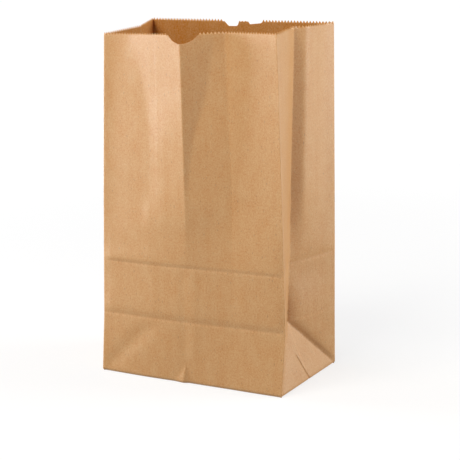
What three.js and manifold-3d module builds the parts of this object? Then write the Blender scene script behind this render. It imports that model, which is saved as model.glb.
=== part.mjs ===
// Brown paper lunch bag: one folded and glued sheet of kraft paper, standing open.
// Millimetres, +Z up. The origin is the middle of the underside, +X runs along the
// wide panels, and the front panel, with the thumb notch, faces -Y.
//
// The bag is a closed solid between two skins of one folded sheet. A place on the sheet
// is (across, up): across runs round the tube from the front left corner, up runs from
// the base edge to the rim.

import * as THREE from 'three';
import { mergeVertices } from 'three/addons/utils/BufferGeometryUtils.js';
import Module from 'manifold-3d';

// Sheet sizes. The rim is pinked, and every panel is a whole number of teeth wide.
const paper = 0.2;
const toothPitch = 2.54;
const toothDepth = 2.2;
const panelWidth = 60 * toothPitch;
const gussetWidth = 36 * toothPitch;
const halfGusset = gussetWidth / 2;
const sheetHeight = 260.5;
const upperCrease = 87.5;
const buckleHeight = 141;

// Bottom: three layers of paper, with flaps that overlap on the middle line.
const bottomThickness = 3 * paper;
const flapOverlap = 20;
const tuckLength = halfGusset + flapOverlap / 2;
const creaseRadius = 0.5;

// Rim cut-outs, as (distance from the panel's left end, depth below the rim).
const thumbNotchCentre = 74.3;
const thumbNotchWidth = 25.6;
const thumbNotchDepth = 7.8;
const backCutOut = [
  [60.7, 0], [65.8, 5.2], [73.4, 5.2], [74.7, 1.2],
  [82.3, 1.2], [83.6, 3.6], [93.7, 2.6], [95, 0],
];

// Back seam: the sheet's two ends lap over each other on the back panel.
const lapInnerEdge = 25 * toothPitch;
const lapOuterEdge = 32 * toothPitch;
const lapRampStart = 22 * toothPitch;

// Heights on the sheet where the fold lines bend.
const levels = [0, halfGusset, upperCrease, buckleHeight, sheetHeight];

// Places across the sheet of the folds that run from the base to the rim.
const frontRidgeAcross = 29 * toothPitch;
const frontValleyAcross = 41 * toothPitch;
const frontRight = panelWidth;
const rightCreaseAcross = panelWidth + halfGusset;
const backRight = panelWidth + gussetWidth;
const backLeft = backRight + panelWidth;
const leftCreaseAcross = backLeft + halfGusset;
const roundTube = 2 * (panelWidth + gussetWidth);

// Each fold line with its point at every level, from the base to the rim. The side
// creases lean in to the apex of the gusset and then back out towards the rim.
const halfWidth = panelWidth / 2;
const halfDepth = gussetWidth / 2;
const foldLines = [
  { across: 0, at: [[-halfWidth, -halfDepth, 0], [-74.9, -43, 45], [-73.7, -42.5, 85.7],
    [-72, -42, 138.2], [-67.7, -40.5, 255.6]] },
  { across: frontRidgeAcross, at: [[-2.5, -halfDepth, 0], [-1, -45.5, 45.6],
    [0.5, -46.5, 87.3], [2.7, -50.3, 140.6], [3.8, -53.8, 258]] },
  { across: frontValleyAcross, at: [[27.9, -halfDepth, 0], [29, -43.9, 45.6],
    [29.7, -44.5, 87.4], [30, -44.4, 140.8], [30.2, -36.8, 258.3]] },
  { across: frontRight, at: [[halfWidth, -halfDepth, 0], [77.5, -41.5, 45.5],
    [77.1, -42, 87.5], [76.5, -43, 141], [74.9, -45, 260]] },
  { across: rightCreaseAcross, at: [[halfWidth, 0, 0], [58.1, 0, 43.2], [60.2, 0, 85.5],
    [62, 0, 139], [66, 0, 260.6]] },
  { across: backRight, at: [[halfWidth, halfDepth, 0], [78.3, 41, 45], [78.5, 41, 88],
    [78.1, 42, 141.5], [76.5, 45, 260.2]] },
  { across: backLeft, at: [[-halfWidth, halfDepth, 0], [-74, 43.5, 45.5], [-74.5, 43.5, 87.5],
    [-75, 44, 140.5], [-77.3, 44.5, 259.2]] },
  { across: leftCreaseAcross, at: [[-halfWidth, 0, 0], [-59.5, 0, 42.5], [-60, 0, 84],
    [-61, 0, 137.5], [-62, 1.5, 257.8]] },
];

// Rows and columns of the coarse grid. Below the gusset's apex the rows climb in the same
// steps as the columns, so that the diagonal creases run from corner to corner of a cell.
const gussetSteps = 5;
const cornerSteps = [bottomThickness];
for (let step = 1; step <= gussetSteps; step += 1) {
  cornerSteps.push((step / gussetSteps) * halfGusset);
}
const pinkedStrip = 12;
const fineRow = sheetHeight - pinkedStrip;
const midLowerBand = 66;
const midUpperBand = 113;
const openRows = [175, 205, 233];
const coarseRows = [
  0, ...cornerSteps, midLowerBand, upperCrease, midUpperBand, buckleHeight, ...openRows,
];

function pointAtLevel(line, up) {
  const last = levels.length - 2;
  const found = levels.findIndex((level) => up < level) - 1;
  const step = found < 0 ? last : found;
  const share = (up - levels[step]) / (levels[step + 1] - levels[step]);
  const low = new THREE.Vector3(...line.at[step]);
  const high = new THREE.Vector3(...line.at[step + 1]);
  return low.lerp(high, share);
}

// A point in a half gusset, counted from its outer corner. Below the apex the diagonal
// crease splits it into a corner triangle and the flat triangle on the base edge.
function gussetPoint(corner, crease, fromCorner, up) {
  const outer = pointAtLevel(corner, up);
  const inner = pointAtLevel(crease, up);
  if (up >= halfGusset) {
    return outer.lerp(inner, fromCorner / halfGusset);
  }
  const base = pointAtLevel(corner, 0);
  const apex = pointAtLevel(crease, halfGusset);
  const diagonal = base.lerp(apex, up / halfGusset);
  if (fromCorner < up) {
    return outer.lerp(diagonal, fromCorner / up);
  }
  return diagonal.lerp(inner, (fromCorner - up) / (halfGusset - up));
}

function sheetPoint(across, up) {
  const place = (across + roundTube) % roundTube;
  let index = foldLines.length - 1;
  while (foldLines[index].across > place) {
    index -= 1;
  }
  const start = foldLines[index];
  const end = foldLines[(index + 1) % foldLines.length];
  const startAcross = start.across;
  const span = (end.across - startAcross + roundTube) % roundTube;
  const along = place - startAcross;
  if (startAcross === frontRight || startAcross === backLeft) {
    return gussetPoint(start, end, along, up);
  }
  if (startAcross === rightCreaseAcross || startAcross === leftCreaseAcross) {
    return gussetPoint(end, start, span - along, up);
  }
  return pointAtLevel(start, up).lerp(pointAtLevel(end, up), along / span);
}

// The outward direction at a place on the sheet, level with the ground, lengthened at a
// fold so that a skin moved along it keeps its distance from both panels.
const probe = 0.02;
function outward(across, up) {
  const here = sheetPoint(across, up);
  const before = here.clone().sub(sheetPoint(across - probe, up));
  const after = sheetPoint(across + probe, up).sub(here);
  const first = new THREE.Vector3(before.y, -before.x, 0).normalize();
  const second = new THREE.Vector3(after.y, -after.x, 0).normalize();
  return first.add(second).divideScalar(1 + first.clone().dot(second));
}

// Places across the sheet for the coarse columns. outer and inner are how far each skin
// stands from the sheet's own surface. They step where an edge of the lap shows.
function column(across, outer = 0, inner = -paper) {
  return { across, outer, inner };
}

function evenColumns(from, to, count) {
  const list = [];
  for (let step = 0; step < count; step += 1) {
    list.push(column(from + ((to - from) * step) / count));
  }
  return list;
}

function gussetColumns(corner) {
  const rising = cornerSteps.map((step) => column(corner + step));
  const falling = [...cornerSteps].reverse().slice(1).map((step) => (
    column(corner + gussetWidth - step)
  ));
  return [column(corner), ...rising, ...falling];
}

const lapOuter = backLeft - lapOuterEdge;
const lapInner = backLeft - lapInnerEdge;
const lapRamp = backLeft - lapRampStart;
const coarseColumns = [
  ...evenColumns(0, frontRidgeAcross, 4),
  ...evenColumns(frontRidgeAcross, frontValleyAcross, 2),
  ...evenColumns(frontValleyAcross, frontRight, 3),
  ...gussetColumns(frontRight),
  ...evenColumns(backRight, lapOuter, 3),
  column(lapOuter),
  column(lapOuter, paper),
  column(lapInner, paper),
  column(lapInner, paper, 0),
  ...evenColumns(lapRamp, backLeft, 3),
  ...gussetColumns(backLeft),
  column(roundTube),
];

// Depth of the rim below the sheet's full height: teeth, the thumb notch in the front
// panel and the cut-out in the back panel.
function notchDepth(across) {
  const radius = (thumbNotchWidth ** 2 / 4 + thumbNotchDepth ** 2) / (2 * thumbNotchDepth);
  const off = across - thumbNotchCentre;
  if (Math.abs(off) < thumbNotchWidth / 2) {
    return Math.sqrt(radius ** 2 - off ** 2) - radius + thumbNotchDepth;
  }
  const fromLeft = backLeft - across;
  for (let index = 1; index < backCutOut.length; index += 1) {
    const [start, startDepth] = backCutOut[index - 1];
    const [end, endDepth] = backCutOut[index];
    if (fromLeft > start && fromLeft <= end) {
      return startDepth + ((endDepth - startDepth) * (fromLeft - start)) / (end - start);
    }
  }
  return 0;
}

function rimHeight(across, tooth) {
  const teeth = tooth % 2 ? 0 : toothDepth;
  return sheetHeight - Math.max(notchDepth(across), teeth);
}

// Triangles of the solid, gathered as corner points. A cell that closes to a line where
// the skin has no step leaves none.
const samePoint = 1e-3;
const weldDistance = 1e-4;
const corners = [];
function triangle(a, b, c) {
  const shortest = Math.min(a.distanceTo(b), b.distanceTo(c), c.distanceTo(a));
  if (shortest > samePoint) {
    corners.push(a, b, c);
  }
}

function skinPoint(place, up, outside) {
  const offset = outside ? place.outer : place.inner;
  return sheetPoint(place.across, up).addScaledVector(outward(place.across, up), offset);
}

// A four-sided cell seen from outside. rising says which way its diagonal runs.
function cell(lowLeft, lowRight, highRight, highLeft, outside, rising) {
  const faces = rising
    ? [[lowLeft, lowRight, highRight], [lowLeft, highRight, highLeft]]
    : [[lowLeft, lowRight, highLeft], [lowRight, highRight, highLeft]];
  faces.forEach(([a, b, c]) => (outside ? triangle(a, b, c) : triangle(a, c, b)));
}

function diagonalRises(across) {
  return across < rightCreaseAcross || (across >= backLeft && across < leftCreaseAcross);
}

function coarseWall(outside) {
  const rows = outside ? coarseRows : coarseRows.slice(1);
  const grid = rows.map((up) => coarseColumns.map((place) => skinPoint(place, up, outside)));
  for (let row = 1; row < rows.length; row += 1) {
    for (let col = 1; col < coarseColumns.length; col += 1) {
      const rising = diagonalRises(coarseColumns[col - 1].across);
      const [low, high] = [grid[row - 1], grid[row]];
      cell(low[col - 1], low[col], high[col], high[col - 1], outside, rising);
    }
  }
  return grid;
}

// Half a tooth to a column, with the coarse columns' steps at the lap kept. A column
// that would fall on a coarse one, to within this share of a half tooth, is left out.
const sameColumn = 0.01;
function fineColumns() {
  const list = [];
  const halfTooth = toothPitch / 2;
  for (let col = 1; col < coarseColumns.length; col += 1) {
    const from = coarseColumns[col - 1];
    const to = coarseColumns[col];
    list.push({ ...from, coarse: col - 1 });
    const first = Math.floor(from.across / halfTooth + sameColumn) + 1;
    const last = Math.ceil(to.across / halfTooth - sameColumn) - 1;
    for (let tooth = first; tooth <= last; tooth += 1) {
      const across = tooth * halfTooth;
      const share = (across - from.across) / (to.across - from.across);
      const outer = THREE.MathUtils.lerp(from.outer, to.outer, share);
      const inner = THREE.MathUtils.lerp(from.inner, to.inner, share);
      list.push({ across, outer, inner, coarse: col - 1 });
    }
  }
  list.push({ ...coarseColumns[coarseColumns.length - 1], coarse: coarseColumns.length - 1 });
  return list;
}

function pinkedWall(topRow, outside) {
  const places = fineColumns();
  const low = places.map((place) => skinPoint(place, fineRow, outside));
  const high = places.map((place) => {
    const tooth = Math.round((2 * place.across) / toothPitch);
    return skinPoint(place, rimHeight(place.across, tooth), outside);
  });
  for (let col = 1; col < places.length; col += 1) {
    const foot = topRow[places[col - 1].coarse];
    const nextFoot = topRow[places[col].coarse];
    cell(low[col - 1], low[col], high[col], high[col - 1], outside, true);
    cell(foot, nextFoot, low[col], low[col - 1], outside, false);
  }
  return high;
}

function bagShell() {
  const outerWall = coarseWall(true);
  const innerWall = coarseWall(false);
  const outerRim = pinkedWall(outerWall[outerWall.length - 1], true);
  const innerRim = pinkedWall(innerWall[innerWall.length - 1], false);
  for (let col = 1; col < outerRim.length; col += 1) {
    cell(outerRim[col - 1], outerRim[col], innerRim[col], innerRim[col - 1], true, true);
  }
  const underside = new THREE.Vector3(0, 0, 0);
  const floor = new THREE.Vector3(0, 0, bottomThickness);
  for (let col = 1; col < coarseColumns.length; col += 1) {
    triangle(underside, outerWall[0][col], outerWall[0][col - 1]);
    triangle(floor, innerWall[0][col - 1], innerWall[0][col]);
  }
  return new THREE.BufferGeometry().setFromPoints(corners);
}

const wasm = await Module();
wasm.setup();

function toSolid(geometry) {
  const bare = geometry.clone();
  bare.deleteAttribute('normal');
  bare.deleteAttribute('uv');
  const merged = mergeVertices(bare, weldDistance);
  return new wasm.Manifold(new wasm.Mesh({
    numProp: 3,
    vertProperties: merged.attributes.position.array,
    triVerts: new Uint32Array(merged.index.array),
  }));
}

function toGeometry(solid) {
  const mesh = solid.getMesh();
  const geometry = new THREE.BufferGeometry();
  geometry.setAttribute('position', new THREE.BufferAttribute(mesh.vertProperties, 3));
  geometry.setIndex(new THREE.BufferAttribute(mesh.triVerts, 1));
  const faceted = geometry.toNonIndexed();
  faceted.computeVertexNormals();
  return faceted;
}

function slab(outline, bottom, top) {
  const shape = new THREE.Shape(outline.map(([x, y]) => new THREE.Vector2(x, y)));
  const geometry = new THREE.ExtrudeGeometry(shape, { depth: top - bottom, bevelEnabled: false });
  return toSolid(geometry.translate(0, 0, bottom));
}

// Underside: the front flap is outermost, the back flap lies one layer higher, and the
// tucked ends show between them one layer higher again. The cuts reach past the base
// edges, where the diagonal edges of the flaps carry on at 45 degrees, and below the bag.
const cutPast = 5;
const cutBelow = -1;
function undersideCuts() {
  const wide = halfWidth + cutPast;
  const deep = halfDepth + cutPast;
  const meet = halfWidth - halfDepth;
  const lap = flapOverlap / 2;
  const besideFlap = [[-wide, -deep], [-meet, 0], [-meet + lap, lap], [meet - lap, lap],
    [meet, 0], [wide, -deep], [wide, deep], [-wide, deep]];
  const ends = [1, -1].map((side) => {
    const triangleBetween = [[side * meet, 0], [side * wide, -deep], [side * wide, deep]];
    return slab(triangleBetween, cutBelow, 2 * paper);
  });
  return [slab(besideFlap, cutBelow, paper), ...ends];
}

// Inside, the two end tucks stand one layer above the flaps between them.
function floorCut() {
  const reach = halfWidth - tuckLength;
  const deep = halfDepth - paper - creaseRadius;
  const band = new THREE.BoxGeometry(2 * reach, 2 * deep, 2 * paper);
  return toSolid(band.translate(0, 0, bottomThickness));
}

function paperBag() {
  let solid = toSolid(bagShell());
  [...undersideCuts(), floorCut()].forEach((cut) => {
    solid = solid.subtract(cut);
  });
  const kraft = new THREE.MeshStandardMaterial({
    color: 0xc49a6c,
    roughness: 0.85,
    metalness: 0,
  });
  const mesh = new THREE.Mesh(toGeometry(solid), kraft);
  mesh.name = 'paper_bag';
  return mesh;
}

const bag = new THREE.Group();
bag.add(paperBag());

export default bag;
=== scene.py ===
import math

import bpy
import numpy as np
from mathutils import Matrix, Vector


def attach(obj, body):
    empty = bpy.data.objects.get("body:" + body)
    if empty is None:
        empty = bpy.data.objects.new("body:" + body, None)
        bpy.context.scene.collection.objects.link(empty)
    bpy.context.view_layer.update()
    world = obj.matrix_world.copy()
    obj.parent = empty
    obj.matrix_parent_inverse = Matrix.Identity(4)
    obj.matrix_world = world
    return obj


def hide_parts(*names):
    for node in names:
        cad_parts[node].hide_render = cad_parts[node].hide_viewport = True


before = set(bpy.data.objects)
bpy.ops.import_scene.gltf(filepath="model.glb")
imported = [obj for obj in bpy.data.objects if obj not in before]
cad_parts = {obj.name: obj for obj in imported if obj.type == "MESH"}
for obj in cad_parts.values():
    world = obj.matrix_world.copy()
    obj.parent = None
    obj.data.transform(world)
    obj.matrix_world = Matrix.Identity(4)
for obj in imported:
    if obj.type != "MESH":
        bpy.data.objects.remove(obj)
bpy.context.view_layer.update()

# An open brown paper bag: one sheet folded into a front, a back, two gusseted sides and a
# flat bottom, with a thumb notch, a cut-out at the back and a pinked rim. The sheet is laid
# out and folded in millimetres; the scene is in metres.
MM = 0.001

# ---------------------------------------------------------------- camera
# The camera stands to the right of the front panel and looks down at the bag a little.
YAW = math.radians(28.70)
PITCH = math.radians(12.87)
ROLL = math.radians(-1.06)
DISTANCE = 1.1233
AIM_RIGHT = 0.0101
AIM_HEIGHT = 0.1065
SENSOR = 36.0
LENS = 117.501
CLIP_START = 0.05
CLIP_END = 60.0


def make_camera():
    level = math.cos(PITCH)
    forward = Vector((-math.sin(YAW) * level, math.cos(YAW) * level, -math.sin(PITCH)))
    right = Vector((math.cos(YAW), math.sin(YAW), 0.0))
    up = right.cross(forward)
    turned_right = math.cos(ROLL) * right + math.sin(ROLL) * up
    turned_up = -math.sin(ROLL) * right + math.cos(ROLL) * up
    aim = AIM_RIGHT * right + Vector((0.0, 0.0, AIM_HEIGHT))
    data = bpy.data.cameras.new("camera")
    data.lens = LENS
    data.sensor_width = SENSOR
    data.clip_start = CLIP_START
    data.clip_end = CLIP_END
    camera = bpy.data.objects.new("camera", data)
    bpy.context.scene.collection.objects.link(camera)
    axes = Matrix((turned_right, turned_up, -forward)).transposed().to_4x4()
    camera.matrix_world = Matrix.Translation(aim - forward * DISTANCE) @ axes
    bpy.context.scene.camera = camera


# ---------------------------------------------------------------- sheet
# The bag is one folded sheet. A place on it is (across, up) in millimetres: across runs
# round the tube from the front left corner, up runs from the base edge to the rim.
PAPER = 0.2
TOOTH = 2.54
TOOTH_DEPTH = 1.9
PANEL = 60 * TOOTH
GUSSET = 36 * TOOTH
HALF_GUSSET = GUSSET / 2
SHEET_HEIGHT = 260.5
HALF_W = PANEL / 2
HALF_D = GUSSET / 2
UPPER_CREASE = 87.5
BUCKLE = 141.0
ROUND_TUBE = 2 * (PANEL + GUSSET)

RIDGE = 29 * TOOTH
VALLEY = 44 * TOOTH
VALLEY_RIM = 41 * TOOTH
FRONT_RIGHT = PANEL
RIGHT_CREASE = PANEL + HALF_GUSSET
BACK_RIGHT = PANEL + GUSSET
BACK_LEFT = BACK_RIGHT + PANEL
LEFT_CREASE = BACK_LEFT + HALF_GUSSET

# Heights on the sheet where the fold lines bend, and each line's point at each height.
LEVELS = np.array([0.0, HALF_GUSSET, UPPER_CREASE, BUCKLE, SHEET_HEIGHT])
FOLD_LINES = [
    (0.0, [(-HALF_W, -HALF_D, 0), (-74.9, -43, 45), (-73.7, -42.5, 85.7),
           (-72, -42, 138.2), (-67.7, -40.5, 255.6)]),
    (RIDGE, [(-2.5, -HALF_D, 0), (-1, -45.5, 45.6), (0.5, -46.5, 87.3),
             (2.7, -50.3, 140.6), (3.2, -52.7, 258.2)]),
    (VALLEY, [(35.5, -HALF_D, 0), (36.5, -43.5, 45.6), (37, -44, 87.4),
              (35.9, -41.1, 140.9), (29.2, -34.9, 258.8)]),
    (FRONT_RIGHT, [(HALF_W, -HALF_D, 0), (77.5, -41.5, 45.5), (77.1, -42, 87.5),
                   (76.5, -43, 141), (74.9, -45, 260)]),
    (RIGHT_CREASE, [(HALF_W, 0, 0), (58.1, 0, 43.2), (60.2, 0, 85.5),
                    (62, 0, 139), (66, 0, 260.6)]),
    (BACK_RIGHT, [(HALF_W, HALF_D, 0), (78.3, 41, 45), (78.5, 41, 88),
                  (78.1, 42, 141.5), (76.5, 45, 260.2)]),
    (BACK_LEFT, [(-HALF_W, HALF_D, 0), (-74, 43.5, 45.5), (-74.5, 43.5, 87.5),
                 (-75, 44, 140.5), (-77.3, 44.5, 259.2)]),
    (LEFT_CREASE, [(-HALF_W, 0, 0), (-59.5, 0, 42.5), (-60, 0, 84),
                   (-61, 0, 137.5), (-62, 1.5, 257.8)]),
]
LINE_ACROSS = np.array([line[0] for line in FOLD_LINES])
# The front panel has three parts, left to right. A part has the number of the fold line that
# it starts at in the list above.
FRONT_PARTS = range(3)
LEFT_PART, RIDGE_PART, VALLEY_PART = FRONT_PARTS
BACK_RIGHT_LINE = 5

# The thumb notch in the front panel's rim is an arc.
THUMB_CENTRE = 74.3
THUMB_WIDTH = 25.6
THUMB_DEPTH = 7.8
# The back panel's cut-out: (distance from the back left corner, depth below the rim).
BACK_CUT_OUT = [(60.7, 0), (65.8, 5.2), (73.4, 5.2), (74.7, 1.2),
                (82.3, 1.2), (83.6, 3.6), (93.7, 2.6), (95, 0)]
# The lapped seam on the back panel: its two edges, how wide the step at each is, and where
# the outer layer (place, softness) and the inner layer (from, to) settle again.
LAP_INNER = BACK_LEFT - 25 * TOOTH
LAP_OUTER = BACK_LEFT - 32 * TOOTH
LAP_STEP = 0.3
OUTER_SETTLES = (LAP_INNER + 2, 8)
INNER_SETTLES = (LAP_INNER + 1, BACK_LEFT - 22 * TOOTH)


def smooth_step(low, high, value):
    """0 below low and 1 above high, with a smooth change between them."""
    t = np.clip((value - low) / (high - low), 0.0, 1.0)
    return t * t * (3 - 2 * t)


def past(edge, width, value):
    """0 before an edge and 1 after it, with a soft change of the given width."""
    return smooth_step(edge - width / 2, edge + width / 2, value)


def band(low, high, width, value):
    """1 between two edges and 0 outside them, with soft changes of the given width."""
    return past(low, width, value) * (1 - past(high, width, value))


def bump(centre, width, value):
    """A bell that is 1 at its centre."""
    return np.exp(-(((value - centre) / width) ** 2))


def by_height(table, up):
    """The value that a table of (height, value) pairs gives at each height."""
    heights, values = zip(*table)
    return np.interp(up, heights, values)


def on_line(index, up):
    """A fold line's point at each height. Past the rim the line runs straight on."""
    points = np.array(FOLD_LINES[index % len(FOLD_LINES)][1], dtype=float)
    slopes = (points[-1] - points[-2]) / (LEVELS[-1] - LEVELS[-2])
    result = np.stack([np.interp(up, LEVELS, points[:, axis]) for axis in range(3)], axis=-1)
    beyond = np.maximum(up - LEVELS[-1], 0.0)
    return result + beyond[..., None] * slopes


def between(start, end, share):
    return start + (end - start) * share[..., None]


# ---- walks: a wall's plan at each height, from the way its paper faces
WALK_STEP = 0.5
WALK_HEIGHTS = np.arange(0.0, SHEET_HEIGHT + 3.0, 1.0)
WALK_TOP = WALK_HEIGHTS[-1] - 0.01
# The least widths that shares are taken of, so that a share of a vanishing one is finite.
TINY = 1e-6
THIN = 1e-3


def walk(turn):
    """Places along and off the straight line between a wall's two edges, as complex shares
    of it, from how many degrees the paper turns from that line, row by row."""
    path = np.cumsum(np.exp(1j * np.radians(turn)), axis=1)
    path = np.concatenate([np.zeros((len(path), 1)), path], axis=1)
    return path / path[:, -1:]


def walk_grid(length):
    """Shares of the wall's width at the middles of equal steps, and heights."""
    count = int(round(length / WALK_STEP))
    return np.meshgrid((np.arange(count) + 0.5) / count, WALK_HEIGHTS)


def look_up(grid, share, up):
    """A walk's place at any share of the wall's width and any height."""
    column = np.clip(share, 0.0, 1.0) * (grid.shape[1] - 1)
    row = np.clip(up, 0.0, WALK_TOP)
    left = np.minimum(column.astype(int), grid.shape[1] - 2)
    below = row.astype(int)
    to_right = column - left
    to_above = row - below
    low = grid[below, left] * (1 - to_right) + grid[below, left + 1] * to_right
    high = grid[below + 1, left] * (1 - to_right) + grid[below + 1, left + 1] * to_right
    return low * (1 - to_above) + high * to_above


def along_walk(start, end, share):
    """The point a complex share of the way from start to end: its real part runs along the
    line between them, its imaginary part runs inwards. Height follows the real part."""
    chord = end - start
    x = start[..., 0] + chord[..., 0] * share.real - chord[..., 1] * share.imag
    y = start[..., 1] + chord[..., 1] * share.real + chord[..., 0] * share.imag
    z = start[..., 2] + chord[..., 2] * share.real
    return np.stack([x, y, z], axis=-1)


# The front panel's facings are in degrees to the right of straight ahead. A name in _SPAN
# is a change's (from, to); one in _END or _START is its (middle, width).
# By height, for the whole panel: the turn by the front right corner, and by the left one.
RIGHT_CORNER_TURN = [(72, 4), (96, 2), (110, 1.5), (122, -1),
                     (136, -4), (155, -6), (195, -7.5), (252, -10)]
LEFT_CORNER_TURN = [(85, 0), (92, -3), (100, 4)]
LEFT_CORNER_END = (8, 12)
FOOT_LEFT_FACING = -5.5
FOOT_RIGHT_FACING = 1.5
FOOT_SPAN = (15, 100)
RIGHT_CORNER_SPAN = (100, 140)
# Between ridge and valley a dark wedge narrows downwards, beside a strip out to the valley:
# where the wedge ends across, and how much further left the strip faces.
BUCKLE_SOFTNESS = 3
WEDGE_FACING = 30
WEDGE_SOFTNESS = 3
WEDGE_END = [(BUCKLE, 74), (155, 77), (169, 79), (191, 83.7), (212, 90.4), (240, 94.6), (259, 97)]
STRIP_TURN = [(BUCKLE, 22), (215, 19), (259, 9)]
# Right of the valley the paper is flat, then bows to the corner from this place across.
RIGHT_FACING = -1.0
RIGHT_BOW_FROM = [(140, 126), (250, 106)]
RIGHT_BOW_WIDTH = 26
RIGHT_BOW_SHARE = 0.7
# Left of the ridge a strip faces further left, from a slanting edge to the ridge.
LEFT_FACING = -6.5
LEFT_PART_SPAN = (108, 140)
LEFT_BOW = [(100, 4), (185, 5), (200, 7.5)]
LEFT_BOW_END = (9, 14)
LEFT_RIM_TURN = 5.5
LEFT_RIM_SPAN = (210, 250)
LEFT_RIM_START = (20, 14)
LEFT_STRIP_EDGE = [(130, 41), (189, 42), (218, 37), (240, 33), (254, 25)]
LEFT_STRIP_TURN = [(118, 0), (141, 3), (175, 4), (195, 7), (215, 8)]
LEFT_STRIP_SOFTNESS = 6
BY_RIDGE_TURN = [(130, 3), (141, 3.5), (155, 2), (195, 2), (212, 0)]
BY_RIDGE_START = (55, 9)
FURTHEST_LEFT = -14.5
# Where the valley fold lies across the sheet, by height.
VALLEY_PATH = [(BUCKLE, VALLEY), (186, 110.2), (216, 105.8), (SHEET_HEIGHT, VALLEY_RIM)]
# How the right gusset's back half turns, from its crease to its corner: a creased strip, the
# middle (from, to, softness) and the edge.
GUSSET_STRIP_TURN = -39
GUSSET_STRIP_END = (9.5, 9)
GUSSET_MIDDLE_TURN = 4
GUSSET_MIDDLE = (12, 33, 8)
GUSSET_EDGE_TURN = -6
GUSSET_EDGE_START = (36, 8)
GUSSET_SPAN = (80, 150)


def front_facing(part, across, up):
    """Which way the front panel's paper faces. Wedge, strip and right bow start at the
    buckle; below it the whole panel has one slowly changing facing."""
    corner = by_height(RIGHT_CORNER_TURN, up)
    swing = FOOT_RIGHT_FACING - FOOT_LEFT_FACING
    low = FOOT_LEFT_FACING + swing * smooth_step(*FOOT_SPAN, across)
    low += (corner - FOOT_RIGHT_FACING) * smooth_step(*RIGHT_CORNER_SPAN, across)
    low += by_height(LEFT_CORNER_TURN, up) * (1 - past(*LEFT_CORNER_END, across))
    if part == LEFT_PART:
        return low + (left_facing(across, up) - low) * smooth_step(*LEFT_PART_SPAN, up)
    if part == RIDGE_PART:
        strip = past(by_height(WEDGE_END, up), WEDGE_SOFTNESS, across)
        high = WEDGE_FACING - by_height(STRIP_TURN, up) * strip
    else:
        start = by_height(RIGHT_BOW_FROM, up)
        bow = RIGHT_BOW_SHARE * (corner - RIGHT_FACING)
        high = RIGHT_FACING + bow * smooth_step(start, start + RIGHT_BOW_WIDTH, across)
    return low + (high - low) * past(BUCKLE, BUCKLE_SOFTNESS, up)


def left_facing(across, up):
    """The facing left of the ridge: bowed at the corner, straighter in the middle."""
    facing = LEFT_FACING + by_height(LEFT_BOW, up) * (1 - past(*LEFT_BOW_END, across))
    facing -= LEFT_RIM_TURN * past(*LEFT_RIM_START, across) * smooth_step(*LEFT_RIM_SPAN, up)
    strip = past(by_height(LEFT_STRIP_EDGE, up), LEFT_STRIP_SOFTNESS, across)
    facing -= by_height(LEFT_STRIP_TURN, up) * strip
    facing += by_height(BY_RIDGE_TURN, up) * past(*BY_RIDGE_START, across)
    return np.maximum(facing, FURTHEST_LEFT)


def line_across(index, up):
    """Where a fold line lies across the sheet; only the valley fold bends."""
    if index == VALLEY_PART:
        return by_height(VALLEY_PATH, up)
    return np.full_like(up, LINE_ACROSS[index])


def front_walk(part):
    """The plan of one part of the front panel, at each height."""
    share, up = walk_grid(PANEL / 2)
    run = on_line(part + 1, up) - on_line(part, up)
    chord = np.degrees(np.arctan2(run[..., 1], run[..., 0]))
    start = line_across(part, up)
    across = start + share * (line_across(part + 1, up) - start)
    return walk(front_facing(part, across, up) - chord)


def gusset_walk():
    """The back half of the right gusset: it leaves its crease turned to the front."""
    share, up = walk_grid(HALF_GUSSET)
    along = share * HALF_GUSSET
    turn = GUSSET_STRIP_TURN * (1 - past(*GUSSET_STRIP_END, along))
    turn += GUSSET_MIDDLE_TURN * band(*GUSSET_MIDDLE, along)
    turn += GUSSET_EDGE_TURN * past(*GUSSET_EDGE_START, along)
    return walk(turn * smooth_step(*GUSSET_SPAN, up))


FRONT_WALKS = [front_walk(part) for part in FRONT_PARTS]
GUSSET_WALK = gusset_walk()


def half_gusset(corner, crease, along, up):
    """Below the apex a diagonal crease splits a half gusset into two triangles."""
    outer = on_line(corner, up)
    inner = on_line(crease, up)
    plain = between(outer, inner, along / HALF_GUSSET)
    if corner == BACK_RIGHT_LINE:
        share = look_up(GUSSET_WALK, 1 - along / HALF_GUSSET, up)
        plain = along_walk(inner, outer, share)
    low = np.clip(up, 0.0, HALF_GUSSET)
    base = on_line(corner, np.zeros_like(up))
    apex = on_line(crease, np.full_like(up, HALF_GUSSET))
    diagonal = between(base, apex, low / HALF_GUSSET)
    corner_side = between(outer, diagonal, along / np.maximum(low, TINY))
    flat_side = between(diagonal, inner, (along - low) / np.maximum(HALF_GUSSET - low, TINY))
    folded = np.where((along < low)[..., None], corner_side, flat_side)
    return np.where((up >= HALF_GUSSET)[..., None], plain, folded)


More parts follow.
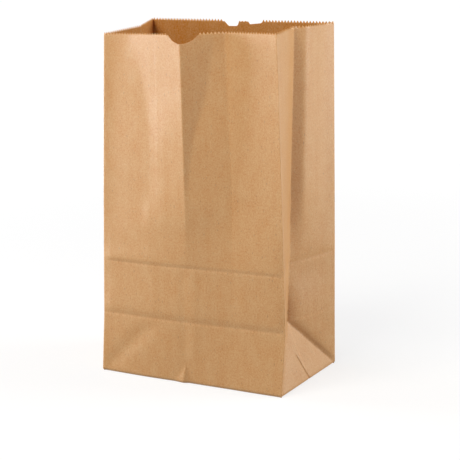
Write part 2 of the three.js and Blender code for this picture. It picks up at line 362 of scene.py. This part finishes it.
def bare_sheet(across, up):
    """Where each place of the folded sheet is, before creases are rounded and relief added."""
    place = across % ROUND_TUBE
    panel = np.searchsorted(LINE_ACROSS, place, side="right") - 1
    by_valley = (panel == RIDGE_PART) | (panel == VALLEY_PART)
    before_valley = place < by_height(VALLEY_PATH, up)
    panel = np.where(by_valley, np.where(before_valley, RIDGE_PART, VALLEY_PART), panel)
    result = np.zeros(place.shape + (3,))
    count = len(FOLD_LINES)
    for index in range(count):
        here = panel == index
        if not here.any():
            continue
        start = LINE_ACROSS[index]
        end = LINE_ACROSS[(index + 1) % count] if index + 1 < count else ROUND_TUBE
        along = place[here] - start
        height = up[here]
        if index in FRONT_PARTS:
            start = line_across(index, height)
            share = (place[here] - start) / (line_across(index + 1, height) - start)
            share = look_up(FRONT_WALKS[index], share, height)
            result[here] = along_walk(on_line(index, height), on_line(index + 1, height), share)
        elif start in (FRONT_RIGHT, BACK_LEFT):
            result[here] = half_gusset(index, index + 1, along, height)
        elif start in (RIGHT_CREASE, LEFT_CREASE):
            result[here] = half_gusset((index + 1) % count, index, end - start - along, height)
        else:
            share = along / (end - start)
            result[here] = between(on_line(index, height), on_line(index + 1, height), share)
    return result


# ---- relief: how far the paper stands out from its walls, in millimetres
# Rolls, where paper that was folded flat stands out just above the crease:
# (crease height, from across, to across, how far it stands out, reach, where it ends)
ROLLS = [
    (UPPER_CREASE, 4, PANEL - 2, 0.6, 3.6, 44),
    (HALF_GUSSET + 0.8, 4, PANEL - 2, 0.85, 5.0, 38),
    (112.5, 38, 92, 0.4, 12.0, 34),
    (UPPER_CREASE + 2, PANEL + 3, BACK_RIGHT - 3, 0.5, 4.0, 30),
    (UPPER_CREASE, BACK_RIGHT + 3, BACK_LEFT - 3, 0.6, 5.0, 36),
    (HALF_GUSSET, BACK_RIGHT + 3, BACK_LEFT - 3, 0.6, 5.0, 30),
    (UPPER_CREASE, BACK_LEFT + 3, ROUND_TUBE - 3, 0.5, 4.0, 30),
]
# Level creases pressed into the paper:
# (height, from across, to across, depth, reach below, reach above)
PRESSED = [
    (HALF_GUSSET + 0.9, 2, PANEL - 2, 0.17, 1.2, 2.0),
    (UPPER_CREASE, 2, PANEL - 2, 0.15, 1.2, 2.0),
    (UPPER_CREASE + 2, PANEL + 3, BACK_RIGHT - 3, 0.12, 1.2, 2.0),
    (BUCKLE, 76, 111, 0.32, 3.5, 11.0),
    (BUCKLE - 1, 111, 122, 0.2, 3.0, 4.0),
    (104.0, 20, 66, 0.15, 4.0, 8.0),
]
# How softly rolls and ribs end, and pressed creases, and how high a roll's top is.
SOFT_END = 8
PRESSED_END = 4
ROLL_TOP = 2
# The valley fold's own sharp line, which starts at the buckle.
VALLEY_DEPTH = 0.35
VALLEY_HALF_WIDTH = 1.6
VALLEY_SOFTNESS = 6
# Soft upright ribs: (across, half width, height, from up, to up)
RIBS = [
    (41.5, 1.6, 0.10, 92, 107),
    (45.5, 4.5, 0.14, 50, 84),
    (80.0, 4.5, 0.22, 18, 84),
    (71.0, 3.0, -0.14, 22, 84),
    (90.0, 3.0, 0.10, 50, 84),
    (120.0, 4.0, 0.12, 52, 80),
    (118.5, 1.2, -0.08, BUCKLE, 161),
    (49.5, 0.8, 0.06, 133, 250),
    (210.0, 1.5, -0.18, 236, 262),
]
# The pleat at the middle of the front base edge: a low ramp with a steep right side.
PLEAT_APEX = 73.7
PLEAT_LEFT = 63.0
PLEAT_EDGE = 71.6
PLEAT_RIGHT = 75.4
PLEAT_TOP = 15.0
PLEAT_HEIGHT = 1.7
# The slanting dent at the front's lower left corner, and where it starts and fades.
DENT_WIDTH = 9.0
DENT_DEPTH = 0.75
DENT_OFFSET = 0.5
DENT_FROM_CORNER = (0, 9)
DENT_FROM_BASE = (-2, 10)
DENT_FADE = (34, 47)
# Beside the gussets' back diagonals and the foot of their creases the paper springs out.
SPRING_OUT = 4.2
SPRING_REACH = 5.0
SPRING_FADE = (50, 84)
# The base edge is bent a little under, so only the sheet above it is seen.
FOOT_TUCK = 1.4
FOOT_ROUND = 1.2
# The slit in the right gusset's flat triangle: (up, across) from its foot to its top.
SLIT = [(0.0, 199.7), (11.1, 196.2), (23.1, 192.4)]
SLIT_DEPTH = 1.3
SLIT_FOOT_WIDTH = 0.75
SLIT_TOP_WIDTH = 0.25
SLIT_END = 4


def pleat(place, up):
    share = np.clip(1 - up / PLEAT_TOP, 0.0, 1.0)
    ends = (PLEAT_LEFT, PLEAT_EDGE, PLEAT_RIGHT)
    left, edge, right = (PLEAT_APEX + (end - PLEAT_APEX) * share for end in ends)
    ramp = np.clip((place - left) / np.maximum(edge - left, THIN), 0.0, 1.0)
    fall = np.clip((place - edge) / np.maximum(right - edge, THIN), 0.0, 1.0)
    return PLEAT_HEIGHT * share * ramp * (1 - fall)


def corner_dent(place, up):
    depth = DENT_DEPTH * bump(DENT_OFFSET, DENT_WIDTH, place - up)
    depth *= smooth_step(*DENT_FROM_CORNER, place) * smooth_step(*DENT_FROM_BASE, up)
    return -depth * (1 - smooth_step(*DENT_FADE, up))


def sprung_gusset(from_corner, up):
    """How far a gusset's paper springs out between its diagonal and its flat side."""
    width = np.clip(up, THIN, HALF_GUSSET)
    beyond = np.clip(width - from_corner, 0.0, width)
    profile = (1 - np.exp(-beyond / SPRING_REACH)) * (1 - beyond / width)
    return SPRING_OUT * profile * (1 - smooth_step(*SPRING_FADE, up))


def slit(place, up):
    top = SLIT[-1][0]
    share = np.clip(up / top, 0.0, 1.0)
    width = SLIT_FOOT_WIDTH + (SLIT_TOP_WIDTH - SLIT_FOOT_WIDTH) * share
    depth = SLIT_DEPTH * (1 - smooth_step(top - SLIT_END, top, up))
    return -depth * bump(by_height(SLIT, up), width, place)


def relief(across, up):
    """How far the paper stands out at each place, everything above taken together."""
    place = across % ROUND_TUBE
    out = np.zeros_like(place)
    for crease, start, end, height, reach, end_up in ROLLS:
        roll = smooth_step(crease, crease + reach, up)
        roll *= 1 - smooth_step(crease + reach + ROLL_TOP, crease + end_up, up)
        out += height * roll * band(start, end, SOFT_END, place)
    for centre, width, height, start, end in RIBS:
        out += height * bump(centre, width, place) * band(start, end, SOFT_END, up)
    for crease, start, end, depth, below, above in PRESSED:
        reach = np.where(up < crease, below, above)
        pressed = np.exp(-np.abs(up - crease) / reach)
        out -= depth * pressed * band(start, end, PRESSED_END, place)
    from_valley = np.abs(place - by_height(VALLEY_PATH, up))
    line = np.exp(-from_valley / VALLEY_HALF_WIDTH)
    out -= VALLEY_DEPTH * line * past(BUCKLE, VALLEY_SOFTNESS, up)
    out -= FOOT_TUCK * (1 - smooth_step(0.0, FOOT_ROUND, up))
    out += pleat(place, up) + corner_dent(place, up) * (place < PANEL)
    out += sprung_gusset(BACK_RIGHT - place, up) * (place > RIGHT_CREASE) * (place < BACK_RIGHT)
    out += sprung_gusset(place - BACK_LEFT, up) * (place > BACK_LEFT) * (place < LEFT_CREASE)
    out += slit(place, up)
    return out


# Creases are rounded by averaging the sheet over this reach to each side: (step, weight).
BEND_REACH = 0.45
AVERAGING = ((-BEND_REACH, 1.0), (0.0, 2.0), (BEND_REACH, 1.0))
# Which way a wall faces is taken between two places this far to each side.
AHEAD = 0.6


def rounded_sheet(across, up):
    """The sheet with its creases rounded to the paper's small bending radius."""
    total = np.zeros(across.shape + (3,))
    weights = 0.0
    for step_across, weight_across in AVERAGING:
        for step_up, weight_up in AVERAGING:
            weight = weight_across * weight_up
            total += weight * bare_sheet(across + step_across, np.maximum(up + step_up, 0.0))
            weights += weight
    return total / weights


def folded_sheet(across, up):
    """The rounded sheet, moved out level from its walls by the relief."""
    point = rounded_sheet(across, up)
    ahead = rounded_sheet(across + AHEAD, up) - rounded_sheet(across - AHEAD, up)
    outward = np.stack([ahead[..., 1], -ahead[..., 0], np.zeros_like(up)], axis=-1)
    outward /= np.linalg.norm(outward, axis=-1, keepdims=True)
    return point + outward * relief(across, up)[..., None]


def notch_depth(across):
    """How far the thumb notch and the back cut-out go down from the rim."""
    radius = (THUMB_WIDTH ** 2 / 4 + THUMB_DEPTH ** 2) / (2 * THUMB_DEPTH)
    off = np.abs(across - THUMB_CENTRE)
    thumb = np.sqrt(np.maximum(radius ** 2 - off ** 2, 0.0)) - radius + THUMB_DEPTH
    thumb = np.where(off < THUMB_WIDTH / 2, thumb, 0.0)
    places, depths = zip(*BACK_CUT_OUT)
    back = np.interp(BACK_LEFT - across, places, depths, left=0.0, right=0.0)
    return np.maximum(thumb, back)


def rim_height(across):
    phase = (across / TOOTH) % 1.0
    teeth = TOOTH_DEPTH * np.abs(1 - 2 * phase)
    return SHEET_HEIGHT - np.maximum(notch_depth(across), teeth)


def lap_lift(across):
    """How far the outer and inner skins stand off the sheet where its two ends lap."""
    outer = past(LAP_OUTER, LAP_STEP, across) - past(*OUTER_SETTLES, across)
    inner = past(LAP_INNER, LAP_STEP, across) - smooth_step(*INNER_SETTLES, across)
    return PAPER * outer, PAPER * inner


# ---- grid: the sheet's columns and rows, closer together where it bends sharply
# There is a column this far to each side of a fold line and of a lap's edge, and close
# columns over the slit (from, to, step).
DIGITS = 4
BY_FOLD = 0.5
BY_LAP = 0.2
SLIT_COLUMNS = (191.4, 201.2, 0.4)
# Rows: (from, to, step). The pinked strip above the last one has rows of its own.
PINKED_FROM = 247.0
ROW_SPANS = [
    (0.0, HALF_GUSSET + 0.1, TOOTH / 2),
    (48.0, 92.0, 2.6),
    (92.0, 147.0, 3.0),
    (147.0, PINKED_FROM, 5.0),
]
FOOT_ROW = 0.6
CREASE_ROWS = [HALF_GUSSET + 0.9, UPPER_CREASE, UPPER_CREASE + 2, BUCKLE]
# The pinked strip's rows end this far below the teeth.
BELOW_TEETH = 0.3


def sheet_columns():
    columns = set(np.round(np.arange(0.0, ROUND_TUBE - 0.01, TOOTH / 2), DIGITS))
    for line in LINE_ACROSS:
        for step in (-BY_FOLD, BY_FOLD):
            columns.add(round((line + step) % ROUND_TUBE, DIGITS))
    for edge in (LAP_OUTER, LAP_INNER):
        for step in (-BY_LAP, BY_LAP):
            columns.add(round(edge + step, DIGITS))
    columns.update(np.round(np.arange(*SLIT_COLUMNS), DIGITS))
    return np.array(sorted(columns))


def sheet_rows():
    rows = {FOOT_ROW}
    for span in ROW_SPANS:
        rows.update(np.round(np.arange(*span), DIGITS))
    for crease in CREASE_ROWS:
        for step in (-1.0, 0.0, 1.0):
            rows.add(round(crease + step, DIGITS))
    return np.array(sorted(rows))


def grid_faces(columns, rows, flip):
    """Quads of a closed band of columns and an open stack of rows."""
    column, row = np.meshgrid(np.arange(columns), np.arange(rows - 1))
    low = row * columns
    high = low + columns
    after = (column + 1) % columns
    quads = np.stack([low + column, low + after, high + after, high + column], axis=-1)
    quads = quads.reshape(-1, 4)
    return quads[:, ::-1] if flip else quads


def wall_skins():
    """The bag's wall: points and faces of both skins, the rim and the foot."""
    columns = sheet_columns()
    rows = sheet_rows()
    teeth_foot = SHEET_HEIGHT - np.maximum(notch_depth(columns), TOOTH_DEPTH) - BELOW_TEETH
    heights = [np.full_like(columns, row) for row in rows]
    for share in (0.0, 0.5, 1.0):
        heights.append(PINKED_FROM + (teeth_foot - PINKED_FROM) * share)
    heights.append(rim_height(columns))
    up = np.array(heights)
    across = np.broadcast_to(columns, up.shape).copy()
    sheet = folded_sheet(across, up)
    along = np.roll(sheet, -1, axis=1) - np.roll(sheet, 1, axis=1)
    rise = np.gradient(sheet, axis=0)
    normal = np.cross(along, rise)
    # the base edge stays level, on the ground
    normal[0, :, 2] = 0.0
    normal /= np.linalg.norm(normal, axis=-1, keepdims=True)
    outer_lift, inner_lift = lap_lift(across)
    outer = sheet + normal * outer_lift[..., None]
    inner = sheet - normal * (PAPER - inner_lift)[..., None]
    outer[0, :, 2] = 0.0
    inner[0, :, 2] = 0.0
    n_rows, n_cols = up.shape
    size = n_rows * n_cols
    faces = [grid_faces(n_cols, n_rows, False), grid_faces(n_cols, n_rows, True) + size]
    foot = np.arange(n_cols)
    foot_after = (foot + 1) % n_cols
    rim = foot + size - n_cols
    rim_after = foot_after + size - n_cols
    faces.append(np.stack([rim, rim_after, size + rim_after, size + rim], axis=-1))
    faces.append(np.stack([foot, size + foot, size + foot_after, foot_after], axis=-1))
    points = np.concatenate([outer.reshape(-1, 3), inner.reshape(-1, 3)])
    place = np.stack([across, up], axis=-1).reshape(-1, 2)
    return points, np.concatenate(faces), np.concatenate([place, place])


# ---- wear, and a painted highlight along the level creases
WEAR_AND_HIGHLIGHT_WIDTH = 0.9
LEVEL_WEAR_AND_HIGHLIGHT = 0.8
WORN_LINES = (0.0, FRONT_RIGHT, RIGHT_CREASE, BACK_RIGHT, BACK_LEFT, LEFT_CREASE)
# Where each gusset's diagonal starts, and which way along the sheet it runs.
DIAGONALS = ((FRONT_RIGHT, 1), (BACK_RIGHT, -1), (BACK_LEFT, 1), (ROUND_TUBE, -1))


def fold_wear_and_highlight(across, up):
    """How much folding has worn a place on the sheet, which is also where the colour carries a
    painted highlight along the level creases: 1 on a fold, 0 away from it.
    """
    place = across % ROUND_TUBE
    wear_and_highlight = np.zeros_like(place)
    for line in WORN_LINES:
        off = (place - line + ROUND_TUBE / 2) % ROUND_TUBE - ROUND_TUBE / 2
        wear_and_highlight = np.maximum(wear_and_highlight, bump(0.0, WEAR_AND_HIGHLIGHT_WIDTH, off))
    # the paler band at the level creases is partly a painted highlight along the crease
    for crease in (HALF_GUSSET, UPPER_CREASE):
        wear_and_highlight = np.maximum(wear_and_highlight, LEVEL_WEAR_AND_HIGHLIGHT * bump(crease, WEAR_AND_HIGHLIGHT_WIDTH, up))
    for corner, side in DIAGONALS:
        along = (place - corner) * side
        on_gusset = (along >= 0) * (along <= HALF_GUSSET)
        wear_and_highlight = np.maximum(wear_and_highlight, bump(0.0, WEAR_AND_HIGHLIGHT_WIDTH, along - up) * on_gusset)
    return wear_and_highlight


# ---- bottom: two flaps and two tucked ends, each one layer of paper
FLAP_OVERLAP = 20.0
INSIDE_WALL = PAPER / 2 + FOOT_TUCK
# The bottom has its own part of the sheet's layout, past the walls' end.
BOTTOM_ACROSS = ROUND_TUBE + 200.0


def layer(outline, level):
    """A flat piece of paper: the outline's points at the bottom, then the same at the top."""
    count = len(outline)
    low = [(x, y, level * PAPER) for x, y in outline]
    high = [(x, y, (level + 1) * PAPER) for x, y in outline]
    faces = [tuple(reversed(range(count))), tuple(range(count, 2 * count))]
    for index in range(count):
        nxt = (index + 1) % count
        faces.append((index, nxt, count + nxt, count + index))
    return low + high, faces


def bottom_layers():
    """The front flap lies lowest, then the back flap, then the two tucked ends."""
    wide = HALF_W - INSIDE_WALL
    deep = HALF_D - INSIDE_WALL
    tuck = HALF_W - HALF_D - FLAP_OVERLAP / 2
    edge = FLAP_OVERLAP / 2
    short = wide - deep - edge
    front = [(-wide, -deep), (wide, -deep), (short, edge), (-short, edge)]
    back = [(-x, -y) for x, y in front]
    right = [(tuck, -deep), (wide, -deep), (wide, deep), (tuck, deep)]
    left = [(-x, -y) for x, y in right]
    return [layer(front, 0), layer(back, 1), layer(right, 2), layer(left, 2)]


def bag_mesh():
    """The bag's one mesh, with its place on the sheet, its wear and painted highlight, and its
    inside marked.
    """
    points, quads, places = wall_skins()
    vertices = points.tolist()
    faces = quads.tolist()
    inside = [0.0] * (len(vertices) // 2) + [1.0] * (len(vertices) // 2)
    places = places.tolist()
    for corners, sides in bottom_layers():
        first = len(vertices)
        vertices += [list(corner) for corner in corners]
        faces += [[first + index for index in side] for side in sides]
        places += [[BOTTOM_ACROSS + corner[0], corner[1]] for corner in corners]
        inside += [0.0] * (len(corners) // 2) + [1.0] * (len(corners) // 2)
    mesh = bpy.data.meshes.new("bag_paper")
    mesh.from_pydata((np.array(vertices) * MM).tolist(), [], faces)
    smooth = [True] * len(quads) + [False] * (len(faces) - len(quads))
    mesh.polygons.foreach_set("use_smooth", smooth)
    flat = mesh.uv_layers.new(name="sheet")
    corner_vertex = np.zeros(len(mesh.loops), dtype=np.int32)
    mesh.loops.foreach_get("vertex_index", corner_vertex)
    uv = np.array(places)[corner_vertex]
    flat.data.foreach_set("uv", (uv * MM).ravel())
    across, up = np.array(places).T
    # rubbed folds, and a painted highlight along the level creases
    wear_and_highlight = mesh.attributes.new("wear_and_highlight", "FLOAT", "POINT")
    wear_and_highlight.data.foreach_set("value", fold_wear_and_highlight(across, up) * (across < ROUND_TUBE))
    inner = mesh.attributes.new("inside", "FLOAT", "POINT")
    inner.data.foreach_set("value", inside)
    mesh.update()
    return mesh


# ---------------------------------------------------------------- material
# Kraft paper: brown, smoothed on the outside so it has a soft sheen, duller inside, and darker
# inside as painted shade for the bag's shaded interior.
PALE_KRAFT = (0.70, 0.455, 0.215, 1)
DEEP_KRAFT = (0.53, 0.184, 0.006, 1)
# the paler colour of folds: partly rubbed wear, partly a painted highlight
WORN_AND_HIGHLIGHT_KRAFT = (0.86, 0.52, 0.25, 1)
SHIVE = (0.16, 0.075, 0.03, 1)
SHIVE_SHARE = 0.35
SHIVE_RAMP = (0.74, 0.80)
WORN_AND_HIGHLIGHT_SHARE = 0.35
WORN_AND_HIGHLIGHT_RAMP = (0.38, 0.62)
ROUGHNESS = 0.46
WORN_ROUGHNESS = 0.12
# the inside skin's colour is made darker: painted shade for the bag's interior
INSIDE_PAINTED_SHADE = -0.24
INSIDE_ROUGHNESS = 0.3
GLOSS = 1.0
INSIDE_GLOSS = -0.6
BUMP_DISTANCE = 0.06 * MM
# The mix node's sockets for its share and its two colours, and for its result.
MIX_SHARE, MIX_FIRST, MIX_SECOND = 0, 6, 7
MIX_RESULT = 2


class Nodes:
    """Short ways to add and join a material's nodes."""

    def __init__(self, material):
        material.use_nodes = True
        self.nodes = material.node_tree.nodes
        self.links = material.node_tree.links
        self.shader = self.nodes["Principled BSDF"]
        self.place = self.nodes.new("ShaderNodeUVMap")
        self.place.uv_map = "sheet"

    def put(self, value, socket):
        """Join an output to a socket, or set the socket to a plain value."""
        if hasattr(value, "links"):
            self.links.new(value, socket)
        else:
            socket.default_value = value

    def noise(self, across, up, detail=2.0, roughness=0.5, turn=0.0):
        """Noise over the sheet whose grains are about (across, up) millimetres big."""
        mapping = self.nodes.new("ShaderNodeMapping")
        mapping.inputs["Rotation"].default_value = (0, 0, math.radians(turn))
        mapping.inputs["Scale"].default_value = (1 / (across * MM), 1 / (up * MM), 1)
        self.links.new(self.place.outputs["UV"], mapping.inputs["Vector"])
        noise = self.nodes.new("ShaderNodeTexNoise")
        noise.noise_dimensions = "2D"
        noise.inputs["Scale"].default_value = 1.0
        noise.inputs["Detail"].default_value = detail
        noise.inputs["Roughness"].default_value = roughness
        self.links.new(mapping.outputs["Vector"], noise.inputs["Vector"])
        return noise.outputs["Fac"]

    def attribute(self, name):
        node = self.nodes.new("ShaderNodeAttribute")
        node.attribute_name = name
        return node.outputs["Fac"]

    def math(self, operation, first, second=0.0, third=0.0):
        node = self.nodes.new("ShaderNodeMath")
        node.operation = operation
        for value, socket in zip((first, second, third), node.inputs):
            self.put(value, socket)
        return node.outputs[0]

    def weighted(self, parts, offset=0.0):
        """Sum of weight times (noise minus its middle), from the offset."""
        total = offset
        for value, weight in parts:
            centred = self.math("SUBTRACT", value, 0.5)
            total = self.math("ADD", total, self.math("MULTIPLY", centred, weight))
        return total

    def ramp(self, value, low, high):
        """0 below low and 1 above high, with a smooth change between them."""
        node = self.nodes.new("ShaderNodeMapRange")
        node.interpolation_type = "SMOOTHSTEP"
        node.inputs["From Min"].default_value = low
        node.inputs["From Max"].default_value = high
        self.links.new(value, node.inputs["Value"])
        return node.outputs["Result"]

    def mix(self, share, first, second):
        node = self.nodes.new("ShaderNodeMix")
        node.data_type = "RGBA"
        self.put(share, node.inputs[MIX_SHARE])
        self.put(first, node.inputs[MIX_FIRST])
        self.put(second, node.inputs[MIX_SECOND])
        return node.outputs[MIX_RESULT]


def kraft_material():
    material = bpy.data.materials.new("kraft")
    kit = Nodes(material)
    grain = kit.noise(1.3, 1.5, detail=3.0, roughness=0.6)
    speckle = kit.noise(0.7, 0.7, detail=1.0)
    fibres = kit.noise(0.8, 7.0, roughness=0.6, turn=4)
    cross_fibres = kit.noise(5.0, 0.8, roughness=0.6, turn=-9)
    clouds = kit.noise(9.0, 13.0, detail=3.0, roughness=0.55)
    streaks = kit.noise(5.0, 90.0)
    inside = kit.attribute("inside")
    tone = kit.weighted([
        (grain, 0.80),
        (speckle, 0.62),
        (fibres, 0.15),
        (cross_fibres, 0.08),
        (clouds, 0.32),
        (streaks, 0.13),
    ], offset=0.5)
    # darken the inside skin's colour: painted shade for the bag's interior
    tone = kit.math("MULTIPLY_ADD", inside, INSIDE_PAINTED_SHADE, tone)
    colour = kit.mix(tone, DEEP_KRAFT, PALE_KRAFT)
    # sparse dark flecks of bark
    shives = kit.ramp(kit.noise(1.1, 3.2, detail=1.0, turn=23), *SHIVE_RAMP)
    colour = kit.mix(kit.math("MULTIPLY", shives, SHIVE_SHARE), colour, SHIVE)
    # folds painted paler, in broken stretches: partly rubbed wear, partly a painted highlight
    # along the level creases
    wear_and_highlight_breaks = kit.ramp(kit.noise(1.2, 6.0, detail=3.0, roughness=0.6), *WORN_AND_HIGHLIGHT_RAMP)
    rubbed_and_highlit = kit.math("MULTIPLY", kit.attribute("wear_and_highlight"), wear_and_highlight_breaks)
    colour = kit.mix(kit.math("MULTIPLY", rubbed_and_highlit, WORN_AND_HIGHLIGHT_SHARE), colour, WORN_AND_HIGHLIGHT_KRAFT)
    kit.put(colour, kit.shader.inputs["Base Color"])
    roughness = kit.weighted([(clouds, 0.10), (grain, 0.12)], offset=ROUGHNESS)
    roughness = kit.math("MULTIPLY_ADD", rubbed_and_highlit, WORN_ROUGHNESS, roughness)
    roughness = kit.math("MULTIPLY_ADD", inside, INSIDE_ROUGHNESS, roughness)
    kit.put(roughness, kit.shader.inputs["Roughness"])
    gloss = kit.math("MULTIPLY_ADD", inside, INSIDE_GLOSS, GLOSS)
    kit.put(gloss, kit.shader.inputs["Specular IOR Level"])
    raised = kit.nodes.new("ShaderNodeBump")
    raised.inputs["Strength"].default_value = 1.0
    raised.inputs["Distance"].default_value = BUMP_DISTANCE
    height = kit.weighted([(grain, 1.0), (fibres, 0.6), (clouds, 3.0)])
    kit.put(height, raised.inputs["Height"])
    kit.put(raised.outputs["Normal"], kit.shader.inputs["Normal"])
    return material


def make_bag():
    mesh = bag_mesh()
    bag = bpy.data.objects.new("bag_paper", mesh)
    bpy.context.scene.collection.objects.link(bag)
    mesh.materials.append(kraft_material())
    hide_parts("paper_bag")
    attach(bag, "root")


# ---------------------------------------------------------------- studio
FLOOR_HALF = 12.0
FLOOR_GREY = (0.27, 0.27, 0.27, 1)
WHITE = (1, 1, 1, 1)
# The floor's own light, as it falls on the bag and as it is seen.
FLOOR_LIGHT = (0.28, 0.71)
# Between these distances from the bag the floor turns into an even glow.
GLOW_FROM = 0.35
GLOW_TO = 0.9
GLOW = 1.02
# The room's light, as it falls on the bag and as it is seen.
ROOM_LIGHT = (0.13, 1.0)
# The lights: (name, azimuth, elevation, distance, size, power, colour).
LIGHTS = [
    ("left", -84, 3, 2.2, 0.9, 62, (0.9, 1.0, 1.14)),
    ("front", -15, 50, 2.2, 1.3, 34, (1.0, 0.95, 0.88)),
    ("right", 118, 18, 2.2, 1.2, 32, (1.0, 1.0, 1.0)),
    ("top", 0, 88, 1.9, 1.4, 9, (1.0, 1.0, 1.0)),
]
LIGHT_AIM = Vector((0, 0, 0.12))


def lit_or_seen(tree, strengths):
    """One strength as light that falls on things, the other as it is seen."""
    path = tree.nodes.new("ShaderNodeLightPath")
    strength = tree.nodes.new("ShaderNodeMapRange")
    strength.inputs["To Min"].default_value = strengths[0]
    strength.inputs["To Max"].default_value = strengths[1]
    tree.links.new(path.outputs["Is Camera Ray"], strength.inputs["Value"])
    return strength.outputs["Result"]


def make_floor():
    """A pale floor that glows softly, as a lit white sweep does, and takes a faint shadow."""
    half = FLOOR_HALF
    corners = [(-half, -half, 0), (half, -half, 0), (half, half, 0), (-half, half, 0)]
    mesh = bpy.data.meshes.new("floor")
    mesh.from_pydata(corners, [], [(0, 1, 2, 3)])
    floor = bpy.data.objects.new("floor", mesh)
    bpy.context.scene.collection.objects.link(floor)
    material = bpy.data.materials.new("floor")
    material.use_nodes = True
    tree = material.node_tree
    nodes = tree.nodes
    links = tree.links
    shader = nodes["Principled BSDF"]
    shader.inputs["Base Color"].default_value = FLOOR_GREY
    shader.inputs["Roughness"].default_value = 1.0
    shader.inputs["Specular IOR Level"].default_value = 0.0
    shader.inputs["Emission Color"].default_value = WHITE
    links.new(lit_or_seen(tree, FLOOR_LIGHT), shader.inputs["Emission Strength"])
    glow = nodes.new("ShaderNodeEmission")
    glow.inputs["Strength"].default_value = GLOW
    place = nodes.new("ShaderNodeTexCoord")
    distance = nodes.new("ShaderNodeVectorMath")
    distance.operation = "LENGTH"
    links.new(place.outputs["Object"], distance.inputs[0])
    share = nodes.new("ShaderNodeMapRange")
    share.interpolation_type = "SMOOTHSTEP"
    share.inputs["From Min"].default_value = GLOW_FROM
    share.inputs["From Max"].default_value = GLOW_TO
    links.new(distance.outputs["Value"], share.inputs["Value"])
    blend = nodes.new("ShaderNodeMixShader")
    links.new(share.outputs["Result"], blend.inputs[0])
    links.new(shader.outputs[0], blend.inputs[1])
    links.new(glow.outputs[0], blend.inputs[2])
    links.new(blend.outputs[0], nodes["Material Output"].inputs["Surface"])
    mesh.materials.append(material)


def area_light(name, azimuth, elevation, distance, size, power, colour):
    """A soft square light, aimed at the bag's middle. Azimuth 0 is in front of it."""
    data = bpy.data.lights.new(name, "AREA")
    data.size = size
    data.energy = power
    data.color = colour
    light = bpy.data.objects.new(name, data)
    bpy.context.scene.collection.objects.link(light)
    turn = math.radians(azimuth)
    rise = math.radians(elevation)
    level = math.cos(rise)
    back = Vector((math.sin(turn) * level, -math.cos(turn) * level, math.sin(rise)))
    light.location = LIGHT_AIM + back * distance
    light.rotation_mode = "QUATERNION"
    light.rotation_quaternion = back.to_track_quat("Z", "Y")


def make_lights():
    world = bpy.data.worlds.new("studio")
    world.use_nodes = True
    tree = world.node_tree
    background = tree.nodes["Background"]
    background.inputs["Color"].default_value = WHITE
    tree.links.new(lit_or_seen(tree, ROOM_LIGHT), background.inputs["Strength"])
    bpy.context.scene.world = world
    for light in LIGHTS:
        area_light(*light)
    bpy.context.scene.view_settings.view_transform = "Standard"


make_camera()
make_lights()
make_floor()
make_bag()
